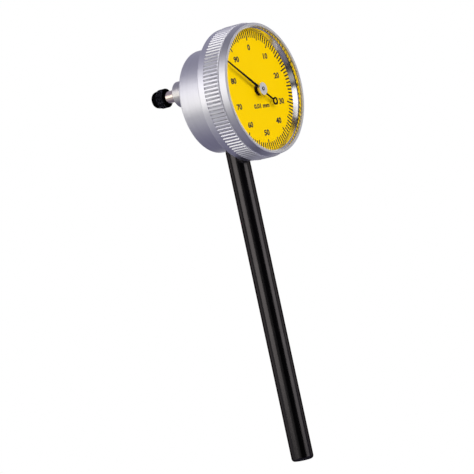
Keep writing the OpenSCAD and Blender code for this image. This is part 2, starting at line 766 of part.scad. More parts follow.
// Measuring rod: rack and flat toward the front, groove for the clip, screwed end for the contact point
module plunger() {
    at = [0, plunger_up];
    rack_end = y_plunger_front + rack_teeth * rack_pitch;
    color([0.82, 0.82, 0.84]) difference() {
        union() {
            bar_y(plunger_r, y_plunger_front, y_shoulder, at);
            bar_y(tip_screw_d / 2, y_shoulder, y_shoulder + tip_screw_len, at);
        }
        block([plunger_flat_x, y_plunger_front - cut, plunger_up - plunger_r - cut],
              [plunger_r + cut, y_flat_end, plunger_up + plunger_r + cut]);
        block([-plunger_r - cut, y_plunger_front - cut, plunger_up - plunger_r - cut],
              [plunger_r + cut, rack_end, rack_flat]);
        for (i = [-2:rack_teeth - 2])
            slab_x(-plunger_r - cut, plunger_r + cut, [y_arbor + i * rack_pitch, 0])
                polygon(rack_gap_points());
        tube_y(plunger_r + cut, plunger_r - clip_groove, y_clip, y_clip + clip_t, at);
        bar_x(pin_d / 2 + fit_gap, -plunger_r - cut, plunger_r + cut, [y_pin, plunger_up]);
    }
}

// Gap between two teeth of the rack, wider at its mouth, drawn from the dial's axis height
function rack_gap_points() =
    let (
        pitch_line = plunger_up - rack_drop,
        mouth = rack_flat - cut,
        root = pitch_line + tooth_ded * rack_module,
        half = rack_gap_share * rack_pitch / 2,
        wide = half + (pitch_line - mouth) * rack_lean,
        narrow = half - (root - pitch_line) * rack_lean
    )
    [[-wide, mouth], [wide, mouth], [narrow, root], [-narrow, root]];

// Screw-on contact point with a knurled grip and a domed end
module contact_tip() {
    r = tip_d / 2;
    neck_r = r - tip_chamfer;
    end_r = tip_end_d / 2;
    at = [0, plunger_up];
    y_knurl_end = y_shoulder + tip_knurl_len;
    y_end = y_shoulder + tip_len;
    y_nose = y_end - tip_nose;
    color([0.06, 0.06, 0.07]) difference() {
        union() {
            intersection() {
                slab_y(y_shoulder, y_knurl_end, at) polygon(knurl_points(tip_knurl_teeth, r, tip_knurl_h));
                turned([
                    [0, y_shoulder], [neck_r, y_shoulder], [r, y_shoulder + tip_chamfer],
                    [r, y_knurl_end - tip_chamfer], [neck_r, y_knurl_end], [0, y_knurl_end]
                ], at);
            }
            turned(concat(
                [[0, y_knurl_end - cut], [neck_r, y_knurl_end - cut], [neck_r, y_knurl_end]],
                [for (a = [15:15:75]) [
                    end_r + (neck_r - end_r) * cos(a), y_knurl_end + (y_nose - y_knurl_end) * sin(a)
                ]],
                [for (a = [0:22.5:90]) [end_r * cos(a), y_nose + tip_nose * sin(a)]]
            ), at);
        }
        bar_y(tip_screw_d / 2 + fit_gap, y_shoulder - cut, y_shoulder + tip_screw_len + fit_gap, at);
    }
}

// Open clip in the plunger's groove, between the return spring and the rear bush
module plunger_clip() {
    at = [0, plunger_up];
    inner = plunger_r - clip_groove + fit_gap;
    color("dimgray") difference() {
        tube_y(clip_r, inner, y_clip + fit_gap, y_clip + clip_t - fit_gap, at);
        block([-inner * clip_mouth, y_clip - cut, plunger_up],
              [inner * clip_mouth, y_clip + clip_t + cut, plunger_up + clip_r + cut]);
    }
}

// Cross pin in the plunger that runs in the left bracket's slot
module guide_pin() {
    x = [end_gap - bracket_x - bracket_t, plunger_flat_x - end_gap];
    color("dimgray") bar_x(pin_d / 2, x[0], x[1], [y_pin, plunger_up]);
}

// Cross arbor with the pinion that the rack turns
module rack_pinion() {
    at = [y_arbor, arbor_up];
    color("silver") {
        bar_x(arbor_d / 2, end_gap - bracket_x, bracket_x - end_gap, at);
        bar_x(pivot_d / 2, end_gap - bracket_x - bracket_t, bracket_x + bracket_t - end_gap, at);
        slab_x(rack_pinion_x[0], rack_pinion_x[1], at) rotate(90)
            polygon(gear_points(rack_pinion_teeth, rack_module, rack_tooth_share, wheel_add, tooth_ded));
    }
}

// Crown wheel: teeth on its left face, cut as straight slots that line up with the pointer's pinion in turn
module crown_wheel() {
    at = [y_arbor, arbor_up];
    half = crown_gap_share * PI * train_module / 2;
    wide = half + (crown_add + cut) * crown_lean;
    narrow = half - crown_ded * crown_lean;
    slot_len = 2 * crown_face;
    hole_r = crown_in_r * 0.22;
    hole_ring = crown_in_r * 0.6;
    color("goldenrod") difference() {
        union() {
            bar_x(crown_out_r, crown_x, crown_back_x, at);
            bar_x(crown_hub_r, crown_x, crown_back_x + crown_boss, at);
        }
        difference() {
            bar_x(crown_in_r, crown_x - cut, crown_back_x - crown_web_t, at);
            bar_x(crown_hub_r, crown_x - 2 * cut, crown_back_x, at);
        }
        bar_x(arbor_d / 2 + fit_gap, crown_x - cut, crown_back_x + crown_boss + cut, at);
        for (a = [60:60:360]) bar_x(hole_r, crown_x - cut, crown_back_x + cut, at + polar(hole_ring, a));
        for (t = [0:crown_teeth - 1])
            translate([0, y_arbor, axis_h + arbor_up]) rotate([t * 360 / crown_teeth, 0, 0])
                translate([0, slot_len / 2 - crown_reach, -arbor_up]) rotate([90, 0, 0])
                    linear_extrude(slot_len) polygon([
                        [crown_x - cut, -wide], [crown_x - cut, wide],
                        [crown_root_x, narrow], [crown_root_x, -narrow]
                    ]);
    }
}

// Arbor on the dial's axis with the eight-leaf pinion
module centre_arbor() {
    color("silver") {
        bar_y(arbor_d / 2, y_hub + hub_cap, y_pinion[0]);
        bar_y(pivot_d / 2, y_pinion[1], y_bridge + bridge_t - end_gap);
        slab_y(y_pinion[0], y_pinion[1])
            polygon(gear_points(pinion_leaves, train_module, leaf_share, tooth_add, tooth_ded));
    }
}

// Silver boss that carries the hand
module pointer_hub() {
    color([0.75, 0.76, 0.78]) difference() {
        union() {
            bar_y(hub_d / 2, y_hub, y_hand);
            bar_y(hub_collar_r, y_hand, y_hand + hub_collar_len);
        }
        bar_y(arbor_d / 2 + fit_gap, y_hub + hub_cap - fit_gap, y_hand + hub_collar_len + cut);
    }
}

// Black hand with a tapered point and a ring in its tail
module hand_part() {
    slab_y(y_hand, y_hand + pointer_t) rotate(-reading * 3.6) children();
}

module pointer() {
    boss_r = hub_collar_r + 0.5;
    point_w = pointer_tip_w / 2;
    tail_angle = 270 - reading * 3.6;
    color([0.05, 0.05, 0.05]) difference() {
        union() {
            bar_y(boss_r, y_hand, y_hand + pointer_t);
            hand_part() polygon([
                [-pointer_w / 2, 0], [-point_w, pointer_len], [point_w, pointer_len], [pointer_w / 2, 0]
            ]);
            hand_part() translate([-tail_line / 2, -tail_r]) square([tail_line, tail_r]);
            hand_part() translate([0, -tail_r]) circle(d = tail_d);
        }
        bar_y(tail_d / 2 - tail_line, y_hand - cut, y_hand + pointer_t + cut, polar(tail_r, tail_angle));
        bar_y(hub_collar_r + fit_gap, y_hand - cut, y_hand + pointer_t + cut);
    }
}

// Arbor of the take-up wheel, with the collet of the hairspring
module takeup_arbor() {
    color("silver") {
        bar_y(pivot_d / 2, y_plate + end_gap, y_bridge + bridge_t - end_gap, takeup_pos);
        bar_y(arbor_d / 2, y_plate_back + end_gap, y_bridge - end_gap, takeup_pos);
        bar_y(collet_r - hair_t / 2, y_hair - end_gap, y_hair + hair_w + end_gap, takeup_pos);
    }
}

// Second wheel on the pointer's pinion, which the hairspring loads
module takeup_wheel() {
    hole_r = takeup_r * 0.24;
    hole_ring = takeup_r * 0.58;
    color("goldenrod") difference() {
        slab_y(y_takeup[0], y_takeup[1], takeup_pos) rotate(takeup_angle - 180)
            polygon(gear_points(takeup_teeth, train_module, takeup_tooth_share, wheel_add, wheel_ded, 3));
        bar_y(arbor_d / 2 + fit_gap, y_takeup[0] - cut, y_takeup[1] + cut, takeup_pos);
        for (a = [45:90:315])
            bar_y(hole_r, y_takeup[0] - cut, y_takeup[1] + cut, takeup_pos + polar(hole_ring, a));
    }
}

// Flat spiral spring from the collet to the stud
function hair_point(i, side) =
    let (turn = i / hair_steps)
    polar(collet_r + hair_pitch * turn + side * hair_t / 2, hair_end_angle + 360 * (turn - hair_turns));
module hairspring() {
    last = hair_steps * hair_turns;
    color("steelblue") slab_y(y_hair, y_hair + hair_w, takeup_pos) polygon(concat(
        [for (i = [0:last]) hair_point(i, 1)], [for (i = [last:-1:0]) hair_point(i, -1)]
    ));
}

case();
rod();
stem();
front_bush();
rear_bush();
return_spring();
bezel_wire();
movement_plate();
movement_pillars();
plate_screws();
centre_bush();
centre_bridge();
bridge_screws();
left_bracket();
right_bracket();
bracket_screws();
arbor_bushes();
hairspring_stud();
bezel();
dial_plate();
dial_ring();
crystal();
plunger();
contact_tip();
plunger_clip();
guide_pin();
rack_pinion();
crown_wheel();
centre_arbor();
pointer_hub();
pointer();
takeup_arbor();
takeup_wheel();
hairspring();
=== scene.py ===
"""Looks of a back plunger dial indicator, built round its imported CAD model."""

import json
import math

import bpy
from mathutils import Matrix, Vector


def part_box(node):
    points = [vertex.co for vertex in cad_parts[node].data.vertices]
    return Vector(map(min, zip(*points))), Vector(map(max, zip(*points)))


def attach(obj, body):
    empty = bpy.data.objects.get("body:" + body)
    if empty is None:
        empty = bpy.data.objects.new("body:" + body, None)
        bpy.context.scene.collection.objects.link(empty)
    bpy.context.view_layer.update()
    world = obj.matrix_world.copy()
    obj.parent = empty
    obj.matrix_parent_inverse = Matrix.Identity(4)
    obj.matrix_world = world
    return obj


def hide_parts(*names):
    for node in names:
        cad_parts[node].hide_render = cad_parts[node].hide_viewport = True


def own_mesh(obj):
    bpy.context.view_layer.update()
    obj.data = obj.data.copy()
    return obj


bl_info = {
    "name": "Back plunger dial indicator",
    "version": (1, 0, 0),
    "blender": (4, 5, 0),
    "location": "View3D > Sidebar > Indicator",
    "description": "Dial print, finishes and studio of a back plunger dial indicator",
    "category": "Object",
}

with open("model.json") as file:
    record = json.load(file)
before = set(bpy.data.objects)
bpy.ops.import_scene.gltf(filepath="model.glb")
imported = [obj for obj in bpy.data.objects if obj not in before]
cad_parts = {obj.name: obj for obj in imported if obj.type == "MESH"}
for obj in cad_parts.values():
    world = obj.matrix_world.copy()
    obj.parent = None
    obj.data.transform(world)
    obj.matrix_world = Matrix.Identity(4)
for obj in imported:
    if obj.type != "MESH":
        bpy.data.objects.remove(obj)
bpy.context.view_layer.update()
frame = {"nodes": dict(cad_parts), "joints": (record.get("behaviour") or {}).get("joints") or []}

MM = 0.001

# Places taken from the solids
DIAL_LOW, DIAL_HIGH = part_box("dial_plate")
DIAL_CENTRE = Vector((0.0, DIAL_LOW.y, (DIAL_LOW.z + DIAL_HIGH.z) / 2))
STEM_LOW, STEM_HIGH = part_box("stem")
PLUNGER_HEIGHT = (STEM_LOW.z + STEM_HIGH.z) / 2
HUB_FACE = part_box("pointer_hub")[0].y
BEZEL_LOW, BEZEL_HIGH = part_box("bezel")

# Radii of turned pieces and bands of the bezel, in millimetres as the finishes measure them
WINDOW_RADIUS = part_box("crystal")[1].x / MM
TIP_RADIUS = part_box("contact_tip")[1].x / MM
CREST_RADIUS = (BEZEL_HIGH.x - BEZEL_LOW.x) / 2 / MM
FRONT_BAND = 2.7
GROOVE_WIDTH = 0.65
REAR_BAND = 2.75
GROOVE_FRONT = BEZEL_LOW.y / MM + FRONT_BAND
KNURL_FRONT = GROOVE_FRONT + GROOVE_WIDTH
KNURL_BACK = BEZEL_HIGH.y / MM - REAR_BAND

# Cross knurl of the contact point: ridges in half a turn and their lean in radians a millimetre
TIP_RIDGES = 16
TIP_LEAN = 4.6

# Layout of the dial
DIVISIONS = 100
DIVISION_DEGREES = 360 / DIVISIONS
NUMBER_STEP = 10
# Radius in millimetres and divisions past the mark, for the right half; the left half mirrors it
NUMBER_PLACES = {
    0: (15.35, 0.0),
    10: (14.75, 0.6),
    20: (14.2, 0.2),
    30: (14.3, 0.75),
    40: (14.8, -0.35),
    50: (15.35, 0.0),
}
NUMBER_STRETCH = 1.17
NOTE = "0.01 mm"
NOTE_STRETCH = 1.25
NOTE_PLACE = DIAL_CENTRE + Vector((0.4 * MM, 0.0, -5.7 * MM))

# Lettering in the font's own units, before it is scaled to its height and the ink's thickness
HALF_DEPTH = 0.5
STROKE_THICKENING = 0.04
CURVE_STEPS = 3
MERGE_DISTANCE = 0.0005

# Slotted pin in the pointer's boss, dark outside a bright middle
PIN_RADIUS = 0.7 * MM
PIN_BRIGHT_RADIUS = 0.38 * MM
PIN_DARK_RADIUS = 0.46 * MM
PIN_RISE = 0.12 * MM
PIN_BEVEL = 0.05 * MM
SLOT_WIDTH = 0.2 * MM
SLOT_DEPTH = 0.08 * MM
SLOT_TURN = math.radians(25)

# Round wire of the return spring
WIRE_RADIUS = 0.25 * MM
WIRE_SIDES = 12
SPRING_TURNS = 4.5
STEPS_A_TURN = 32

# Camera: angles in degrees, and the picture's middle to the right of and above the dial's centre
CAMERA_TURN = -55.0
CAMERA_ELEVATION = -0.08
CAMERA_ROLL = -12.165
PICTURE_MIDDLE = (-7.31 * MM, -51.88 * MM)
PICTURE_PIXELS = 474
SENSOR_WIDTH = 36.0

# Studio: level direction from the indicator to the backdrop, and the cool tint of room and floor
BACKDROP_X, BACKDROP_Y = 0.82, 0.57
ROOM_TINT = (1.0, 0.98, 1.3)
FLOOR_SIZE = 12.0
WHITE = (1.0, 1.0, 1.0)

# Numbers of the Mix node's sockets for colours
MIX_SHARE, MIX_FIRST, MIX_SECOND, MIX_RESULT = 0, 6, 7, 2


class DialPrint(bpy.types.PropertyGroup):
    """Sizes of the print on the dial."""

    outer: bpy.props.FloatProperty(
        name="Outer radius", description="Where the division marks end",
        default=21.35 * MM, unit="LENGTH")
    short: bpy.props.FloatProperty(
        name="Short marks", description="Where the marks of single divisions start",
        default=18.9 * MM, unit="LENGTH")
    medium: bpy.props.FloatProperty(
        name="Medium marks", description="Where every fifth mark starts",
        default=18.4 * MM, unit="LENGTH")
    long: bpy.props.FloatProperty(
        name="Long marks", description="Where every tenth mark starts",
        default=17.8 * MM, unit="LENGTH")
    width: bpy.props.FloatProperty(
        name="Mark width", description="Width of a division mark",
        default=0.54 * MM, unit="LENGTH")
    ink: bpy.props.FloatProperty(
        name="Ink thickness", description="How far the print stands over the dial",
        default=0.02 * MM, unit="LENGTH")
    digit: bpy.props.FloatProperty(
        name="Number height", description="Height of the numbers",
        default=2.15 * MM, unit="LENGTH")
    note: bpy.props.FloatProperty(
        name="Note height", description="Height of the unit note",
        default=1.7 * MM, unit="LENGTH")


class Finishes(bpy.types.PropertyGroup):
    """Colours of the finishes."""

    dial: bpy.props.FloatVectorProperty(
        name="Dial", description="Enamel of the dial", subtype="COLOR", size=3,
        default=(0.95, 0.62, 0.0))
    aluminium: bpy.props.FloatVectorProperty(
        name="Aluminium", description="Turned case and bezel", subtype="COLOR", size=3,
        default=(0.73, 0.726, 0.755))
    stem: bpy.props.FloatVectorProperty(
        name="Stem", description="Ground steel of the stem", subtype="COLOR", size=3,
        default=(0.6068, 0.5904, 0.574))
    plunger: bpy.props.FloatVectorProperty(
        name="Plunger", description="Ground steel of the plunger", subtype="COLOR", size=3,
        default=(0.75, 0.64, 0.56))
    rod: bpy.props.FloatVectorProperty(
        name="Rod", description="Black oxide of the mounting rod", subtype="COLOR", size=3,
        default=(0.055, 0.051, 0.052))
    tip: bpy.props.FloatVectorProperty(
        name="Contact point", description="Black oxide of the contact point", subtype="COLOR", size=3,
        default=(0.025, 0.025, 0.031))
    ring: bpy.props.FloatVectorProperty(
        name="Dial ring", description="Polished ring round the dial", subtype="COLOR", size=3,
        default=(0.82, 0.82, 0.83))
    hub: bpy.props.FloatVectorProperty(
        name="Boss", description="Turned boss of the hand", subtype="COLOR", size=3,
        default=(0.82, 0.8, 0.8))
    hand: bpy.props.FloatVectorProperty(
        name="Hand", description="Black enamel of the hand", subtype="COLOR", size=3,
        default=(0.006, 0.005, 0.005))
    brass: bpy.props.FloatVectorProperty(
        name="Brass", description="Movement plates and wheels", subtype="COLOR", size=3,
        default=(0.75, 0.55, 0.25))


class Studio(bpy.types.PropertyGroup):
    """Light and camera."""

    distance: bpy.props.FloatProperty(
        name="Camera distance", description="From the dial's centre to the camera",
        default=1.0, unit="LENGTH")
    pixels_per_mm: bpy.props.FloatProperty(
        name="Scale", description="Picture pixels for a millimetre at the dial", default=2.835)
    dim: bpy.props.FloatProperty(
        name="Room", description="Light from the dim side of the room",
        default=0.03, min=0.0, max=1.0, subtype="FACTOR")
    ceiling: bpy.props.FloatProperty(
        name="Ceiling", description="Light from above",
        default=0.36, min=0.0, max=1.0, subtype="FACTOR")
    floor_drop: bpy.props.FloatProperty(
        name="Floor", description="How far the floor lies under the rod's end",
        default=0.15, unit="LENGTH")


class Sock:
    """One output of a shader node; arithmetic on it adds Math nodes."""

    def __init__(self, nodes, out):
        self.nodes = nodes
        self.out = out

    def _math(self, operation, a, b):
        return self.nodes.node("ShaderNodeMath", {"operation": operation}, {0: a, 1: b})

    def __add__(self, other):
        return self._math("ADD", self, other)

    __radd__ = __add__

    def __sub__(self, other):
        return self._math("SUBTRACT", self, other)

    def __rsub__(self, other):
        return self._math("SUBTRACT", other, self)

    def __mul__(self, other):
        return self._math("MULTIPLY", self, other)

    __rmul__ = __mul__

    def __truediv__(self, other):
        return self._math("DIVIDE", self, other)

    def __pow__(self, other):
        return self._math("POWER", self, other)

    def max(self, other):
        return self._math("MAXIMUM", self, other)


class NodeTree:
    """Adds nodes to a material's or a world's tree."""

    def __init__(self, owner):
        owner.use_nodes = True
        self.owner = owner
        self.tree = owner.node_tree
        self.tree.nodes.clear()

    def node(self, kind, settings=None, inputs=None, output=0):
        """Adds a node with its settings and its sockets' values or links, and gives its output."""
        made = self.tree.nodes.new(kind)
        for key, value in (settings or {}).items():
            setattr(made, key, value)
        for key, value in (inputs or {}).items():
            if isinstance(value, Sock):
                self.tree.links.new(value.out, made.inputs[key])
            else:
                made.inputs[key].default_value = value
        if isinstance(output, tuple):
            return [Sock(self, made.outputs[key]) for key in output]
        return Sock(self, made.outputs[output]) if len(made.outputs) else None

    def split(self, vector):
        """The three parts of a vector."""
        return self.node("ShaderNodeSeparateXYZ", None, {0: vector}, output=(0, 1, 2))

    def mix(self, share, a, b):
        """Colour between a and b."""
        return self.node(
            "ShaderNodeMix", {"data_type": "RGBA"},
            {MIX_SHARE: share, MIX_FIRST: rgba(a), MIX_SECOND: rgba(b)}, output=MIX_RESULT)

    def smooth(self, value, low, high):
        """0 below low, 1 above high, smooth between them."""
        return self.node(
            "ShaderNodeMapRange", {"interpolation_type": "SMOOTHSTEP"},
            {"Value": value, "From Min": low, "From Max": high})


class Finish(NodeTree):
    """One procedural material in millimetres of the object's own frame."""

    def __init__(self, name):
        super().__init__(bpy.data.materials.new(name))
        self.place = self.node("ShaderNodeTexCoord", output="Object")

    def axes_mm(self):
        """Place along X, Y and Z in millimetres."""
        return [axis / MM for axis in self.split(self.place)]

    def turning(self, height):
        """Radius from an axis along Y at a height, and the place along it, in millimetres."""
        x, y, z = self.axes_mm()
        rise = z - height / MM
        return (x * x + rise * rise) ** 0.5, y

    def cloud(self, per_mm, detail=3.0):
        """Soft patches, so many to a millimetre."""
        return self.node(
            "ShaderNodeTexNoise", None,
            {"Vector": self.place, "Scale": per_mm / MM, "Detail": detail})

    def streaks(self, per_mm, detail):
        """Patches, so many to a millimetre on each axis, and so drawn out along the one with fewest."""
        spot = self.node(
            "ShaderNodeCombineXYZ", None,
            {number: axis * count for number, (axis, count) in enumerate(zip(self.axes_mm(), per_mm))})
        return self.node("ShaderNodeTexNoise", None, {"Vector": spot, "Scale": 1.0, "Detail": detail})

    def tool_marks(self, radius, along, per_mm):
        """Rings that a lathe leaves on walls and faces."""
        spot = self.node("ShaderNodeCombineXYZ", None, {0: radius * per_mm, 1: along * per_mm})
        return self.node(
            "ShaderNodeTexNoise", {"noise_dimensions": "2D"},
            {"Vector": spot, "Scale": 1.0, "Detail": 3.0})

    def bump(self, height, depth_mm):
        """Normal of a surface that rises by a depth in millimetres where height is 1."""
        return self.node(
            "ShaderNodeBump", None, {"Strength": 1.0, "Distance": depth_mm * MM, "Height": height})

    def surface(self, **sockets):
        """Principled surface; names use underscores in place of spaces."""
        shader = self.node(
            "ShaderNodeBsdfPrincipled", None,
            {key.replace("_", " "): rgba(value) if key.endswith(("Color", "Tint")) else value
             for key, value in sockets.items()})
        self.node("ShaderNodeOutputMaterial", None, {"Surface": shader})
        return self.owner


def rgba(colour):
    """A colour as a socket takes it; a link stays as it is."""
    return colour if isinstance(colour, Sock) else (*tuple(colour)[:3], 1.0)


def shade(colour, share):
    """A colour made lighter or darker by one factor."""
    return tuple(channel * share for channel in tuple(colour)[:3])


def turned_metal(name, colour, height, rough, marks=6.0, depth=0.004):
    """Metal turned on an axis at a height: a lathe's rings, so many to a millimetre, and soft stains."""
    f = Finish(name)
    radius, along = f.turning(height)
    fine = f.tool_marks(radius, along, marks)
    broad = f.tool_marks(radius, along, marks / 7)
    stain = f.cloud(0.12)
    tone = fine * 0.35 + broad * 0.4 + stain * 0.25
    return f.surface(
        Base_Color=f.mix(tone, shade(colour, 0.86), shade(colour, 1.1)),
        Metallic=1.0,
        Roughness=fine * 0.12 + stain * 0.1 + (rough - 0.11),
        Normal=f.bump(fine, depth))


def bezel_metal(colour):
    """Turned aluminium: bright knurl crests, painted shade in their gaps and painted light in the
    groove.
    """
    f = Finish("Bezel aluminium")
    radius, along = f.turning(DIAL_CENTRE.z)
    fine = f.tool_marks(radius, along, 6.0)
    stain = f.cloud(0.15)
    body = f.mix(fine * 0.5 + stain * 0.5, shade(colour, 0.84), shade(colour, 1.04))

    # Zones of the bezel, with soft edges in millimetres
    front = 1 - f.smooth(along, GROOVE_FRONT - 0.1, GROOVE_FRONT)
    # Painted light: the groove is made pale and less metallic over its shade
    groove_light = f.smooth(along, GROOVE_FRONT - 0.01, GROOVE_FRONT + 0.03)
    groove_light = groove_light * (1 - f.smooth(along, KNURL_FRONT - 0.06, KNURL_FRONT))
    knurled = f.smooth(along, KNURL_FRONT - 0.1, KNURL_FRONT + 0.1)
    knurled = knurled * (1 - f.smooth(along, KNURL_BACK - 0.1, KNURL_BACK + 0.1))
    # Painted shade: the knurl's roots are darkened between the teeth
    gap_shade = knurled * (1 - f.smooth(radius, CREST_RADIUS - 0.42, CREST_RADIUS - 0.25))
    crest = knurled * f.smooth(radius, CREST_RADIUS - 0.1, CREST_RADIUS - 0.01)
    # Painted highlight: the rear band is lightened
    rear = f.smooth(along, KNURL_BACK + 0.1, KNURL_BACK + 0.3)

    body = f.mix(rear * 0.5, body, shade(colour, 1.1))
    body = f.mix(gap_shade * 0.3, body, shade(colour, 0.3))
    body = f.mix(groove_light * 0.5, body, (0.8, 0.79, 0.82))
    return f.surface(
        Base_Color=f.mix(crest * 0.5, body, shade(colour, 1.12)),
        Metallic=1 - groove_light * 0.5,
        Roughness=fine * 0.1 + stain * 0.08 + 0.28 + gap_shade * 0.15 + groove_light * 0.25 + front * 0.1,
        Normal=f.bump(fine, 0.004))


def blackened_rod(colour):
    """Black oxide on drawn steel: lengthwise drawing lines, speckle and faint rubbed patches."""
    f = Finish("Blackened rod")
    lines = f.streaks((4.0, 4.0, 0.05), 3.0)
    speckle = f.cloud(3.0)
    rubbed = f.smooth(f.cloud(0.08), 0.52, 0.75)
    tone = lines * 0.5 + speckle * 0.5
    return f.surface(
        Base_Color=f.mix(tone * 0.8 + rubbed * 0.2, shade(colour, 0.4), shade(colour, 1.75)),
        Metallic=1.0,
        Roughness=speckle * 0.12 + lines * 0.1 + 0.08,
        Specular_Tint=shade(colour, 3.0),
        Normal=f.bump(lines * 0.4 + speckle * 0.6, 0.007))


def blackened_tip(colour):
    """Black oxide on the contact point; the crests of its cross knurl are worn and painted with glints.
    """
    f = Finish("Blackened contact point")
    radius, along = f.turning(PLUNGER_HEIGHT)
    x, _, z = f.axes_mm()
    turn = f.node("ShaderNodeMath", {"operation": "ARCTAN2"}, {0: x, 1: z - PLUNGER_HEIGHT / MM})
    ridges = [
        f.node("ShaderNodeMath", {"operation": "SINE"}, {0: turn * TIP_RIDGES + along * lean}) ** 2.0
        for lean in (TIP_LEAN, -TIP_LEAN)
    ]
    knurled = f.smooth(radius, TIP_RADIUS - 0.3, TIP_RADIUS - 0.2)
    crests = ridges[0] * ridges[1] * knurled
    speckle = f.cloud(4.0)
    # Lighter crests: worn oxide and painted glints in one mask
    rubbed = f.smooth(crests + speckle * 0.6, 0.5, 1.1)
    return f.surface(
        Base_Color=f.mix(rubbed, shade(colour, 0.12), shade(colour, 6.0)),
        Metallic=1.0,
        Roughness=0.45 - rubbed * 0.2 + speckle * 0.1,
        Specular_Tint=shade(colour, 3.0),
        Normal=f.bump(crests + speckle * 0.05, 0.15))


def enamel(name, colour, peel_depth, rough, gloss):
    """Sprayed enamel: slight tone changes and a fine orange peel, whose depth is in millimetres."""
    f = Finish(name)
    peel = f.cloud(3.0)
    drift = f.cloud(0.06)
    return f.surface(
        Base_Color=f.mix(peel * 0.3 + drift * 0.7, shade(colour, 0.96), shade(colour, 1.04)),
        Roughness=peel * 0.1 + rough,
        Specular_IOR_Level=gloss,
        Normal=f.bump(peel, peel_depth))


def printing_ink():
    """Matt black screen print of slightly uneven tone."""
    f = Finish("Printing ink")
    grain = f.cloud(9.0)
    return f.surface(
        Base_Color=f.mix(grain, (0.012, 0.011, 0.010), (0.035, 0.030, 0.022)),
        Roughness=grain * 0.15 + 0.5,
        Specular_IOR_Level=0.25)


def clear_window():
    """Clear acrylic with faint wiping marks and a painted highlight, a pale line round its edge."""
    f = Finish("Clear window")
    radius, _ = f.turning(DIAL_CENTRE.z)
    wipe = f.smooth(f.cloud(0.15, 5.0), 0.45, 0.8)
    # Painted highlight: a pale, less clear line round the window's edge
    edge = f.smooth(radius, WINDOW_RADIUS - 0.4, WINDOW_RADIUS - 0.1)
    return f.surface(
        Base_Color=f.mix(wipe, (0.85, 0.88, 0.9), (0.9, 0.9, 0.92)),
        Roughness=wipe * 0.08 + 0.03,
        Alpha=edge * 0.25,
        IOR=1.49)


def machined(name, colour, rough):
    """Movement metal with fine stains and brushing along X."""
    f = Finish(name)
    brushed = f.streaks((0.4, 8.0, 8.0), 2.0)
    stain = f.cloud(1.5)
    return f.surface(
        Base_Color=f.mix(brushed * 0.5 + stain * 0.5, shade(colour, 0.8), shade(colour, 1.15)),
        Metallic=1.0,
        Roughness=brushed * 0.15 + rough,
        Normal=f.bump(brushed, 0.003))


def riveted_pin():
    """End of the arbor: bright in the middle and dark round its edge."""
    f = Finish("Riveted pin")
    radius, _ = f.turning(DIAL_CENTRE.z)
    stain = f.cloud(6.0)
    dark_ring = f.smooth(radius + stain * 0.06, PIN_BRIGHT_RADIUS / MM, PIN_DARK_RADIUS / MM)
    return f.surface(
        Base_Color=f.mix(dark_ring, (0.78, 0.76, 0.77), (0.012, 0.011, 0.012)),
        Metallic=1.0,
        Roughness=stain * 0.1 + 0.36)


def deselect():
    """Leaves edit mode and deselects everything."""
    if bpy.context.object and bpy.context.object.mode != "OBJECT":
        bpy.ops.object.mode_set(mode="OBJECT")
    bpy.ops.object.select_all(action="DESELECT")


def activate(piece):
    """Selects one piece alone."""
    deselect()
    piece.select_set(True)
    bpy.context.view_layer.objects.active = piece


def apply_place():
    """Moves the selected piece's place, turn and scale into its mesh."""
    bpy.ops.object.transform_apply(location=True, rotation=True, scale=True)


def face_outwards(merge=0.0):
    """Turns all faces of the active mesh outwards, after merging points nearer than merge."""
    bpy.ops.object.mode_set(mode="EDIT")
    bpy.ops.mesh.select_all(action="SELECT")
    if merge:
        bpy.ops.mesh.remove_doubles(threshold=merge)
    bpy.ops.mesh.normals_make_consistent(inside=False)
    bpy.ops.object.mode_set(mode="OBJECT")


def settle(piece, name, body, material):
    """Applies a piece's place to its mesh, and sets its name, body, slot and material."""
    activate(piece)
    apply_place()
    piece.name = name
    piece.data.name = name
    piece.data.materials.clear()
    piece.data.materials.append(bpy.data.materials[material])
    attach(piece, body)


def join(pieces):
    """Makes several meshes one."""
    deselect()
    for piece in pieces:
        piece.select_set(True)
    bpy.context.view_layer.objects.active = pieces[0]
    bpy.ops.object.join()
    return bpy.context.object


def dial_point(radius, division):
    """A point on the dial's face at a radius and a number of divisions clockwise from the top."""
    turn = math.radians(division * DIVISION_DEGREES)
    return DIAL_CENTRE + Vector((radius * math.sin(turn), 0.0, radius * math.cos(turn)))


def mark_row(sizes, start, first, spins):
    """Division marks of one length: one bar, spun in turn by each pair of copies and divisions apart."""
    deselect()
    middle = dial_point((sizes.outer + start) / 2, first)
    bpy.ops.mesh.primitive_cube_add(
        size=1.0, location=middle - Vector((0, sizes.ink / 2, 0)),
        rotation=(0.0, math.radians(first * DIVISION_DEGREES), 0.0),
        scale=(sizes.width, sizes.ink, sizes.outer - start))
    mark = bpy.context.object
    apply_place()
    bpy.ops.object.mode_set(mode="EDIT")
    for copies, apart in spins:
        bpy.ops.mesh.select_all(action="SELECT")
        bpy.ops.mesh.spin(
            steps=copies, dupli=True, angle=math.radians(DIVISION_DEGREES * apart * copies),
            center=DIAL_CENTRE, axis=(0.0, -1.0, 0.0))
    face_outwards()
    return mark


def lettering(words, height, stretch, spot, thickness):
    """Words that stand on the dial's face, centred at a spot."""
    deselect()
    bpy.ops.object.text_add()
    line = bpy.context.object
    line.data.body = words
    line.data.extrude = HALF_DEPTH
    line.data.offset = STROKE_THICKENING
    line.data.resolution_u = CURVE_STEPS
    bpy.ops.object.convert(target="MESH")
    line = bpy.context.object
    face_outwards(MERGE_DISTANCE)
    bpy.ops.object.origin_set(type="ORIGIN_GEOMETRY", center="BOUNDS")
    scale = height / line.dimensions.y
    line.location = spot - Vector((0.0, thickness / 2, 0.0))
    line.rotation_euler = (math.pi / 2, 0.0, 0.0)
    line.scale = (scale * stretch, scale, thickness / line.dimensions.z)
    apply_place()
    return line


